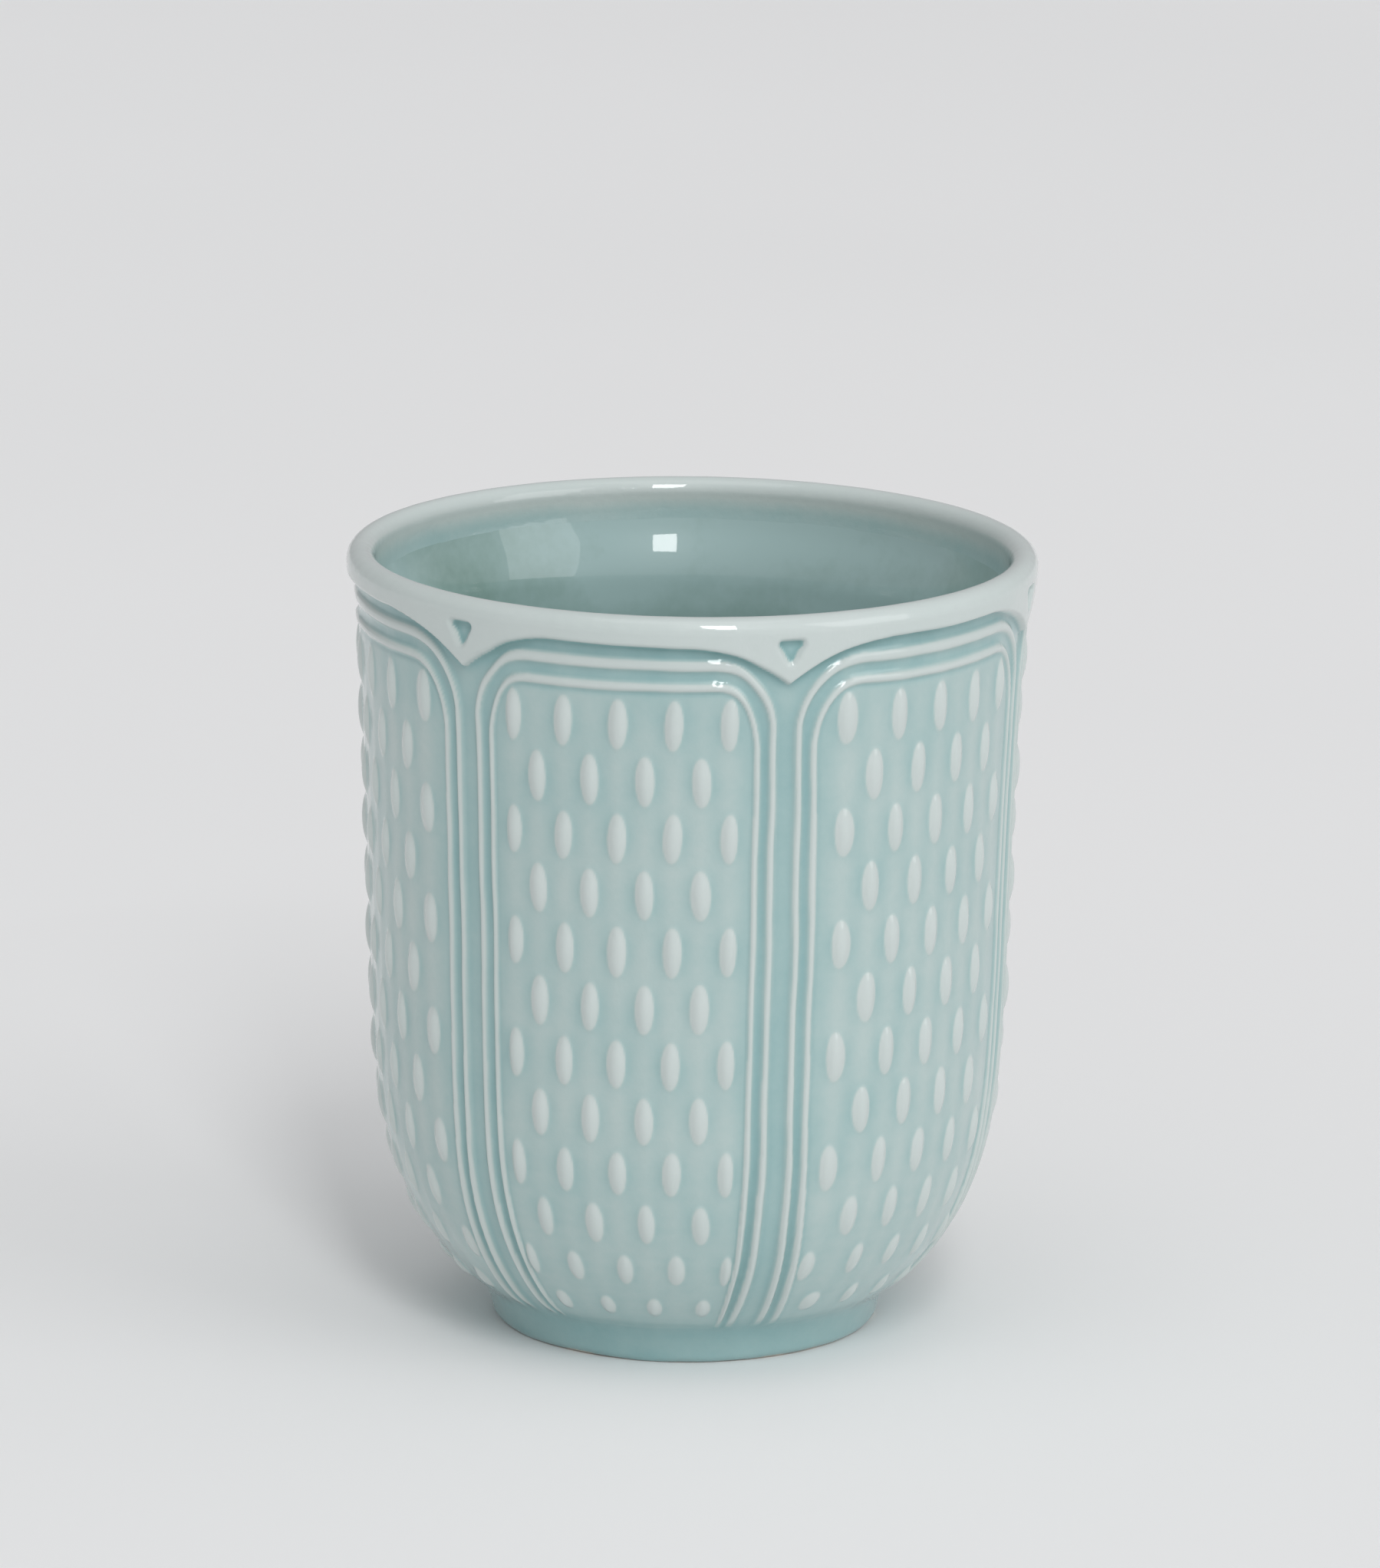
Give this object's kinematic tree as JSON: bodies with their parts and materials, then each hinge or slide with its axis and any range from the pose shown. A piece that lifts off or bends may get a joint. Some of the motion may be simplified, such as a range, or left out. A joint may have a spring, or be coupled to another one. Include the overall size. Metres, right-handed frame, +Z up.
{
  "type": "brush holder pot",
  "caption": "Footed celadon porcelain brush pot with a rounded lip, arched panels framed by raised lines, and staggered rows of raised grains.",
  "frame": {"origin": "on the pot's axis, at the level of the surface that the foot ring rests on", "axes": "+Z up along the pot's axis; the middle of the first panel faces -Y"},
  "size_m": [0.089, 0.089, 0.1025],
  "materials": {
    "porcelain": "high relief under a thin pale celadon glaze, glossy",
    "celadon_glaze": "thick blue-green celadon glaze, glossy",
    "bare_clay": "unglazed porcelain, matt"
  },
  "bodies": {
    "root": {"porcelain_wall": "porcelain", "foot_ring": "bare_clay", "rim_band": "porcelain", "outside_glaze": "celadon_glaze", "inside_glaze": "celadon_glaze", "base_glaze": "celadon_glaze", "frame_lines_1": "porcelain", "frame_lines_2": "porcelain", "frame_lines_3": "porcelain", "frame_lines_4": "porcelain", "frame_lines_5": "porcelain", "frame_lines_6": "porcelain", "field_1": "porcelain", "field_2": "porcelain", "field_3": "porcelain", "field_4": "porcelain", "field_5": "porcelain", "field_6": "porcelain", "grains_1": "porcelain", "grains_2": "porcelain", "grains_3": "porcelain", "grains_4": "porcelain", "grains_5": "porcelain", "grains_6": "porcelain"}
  },
  "joints": []
}
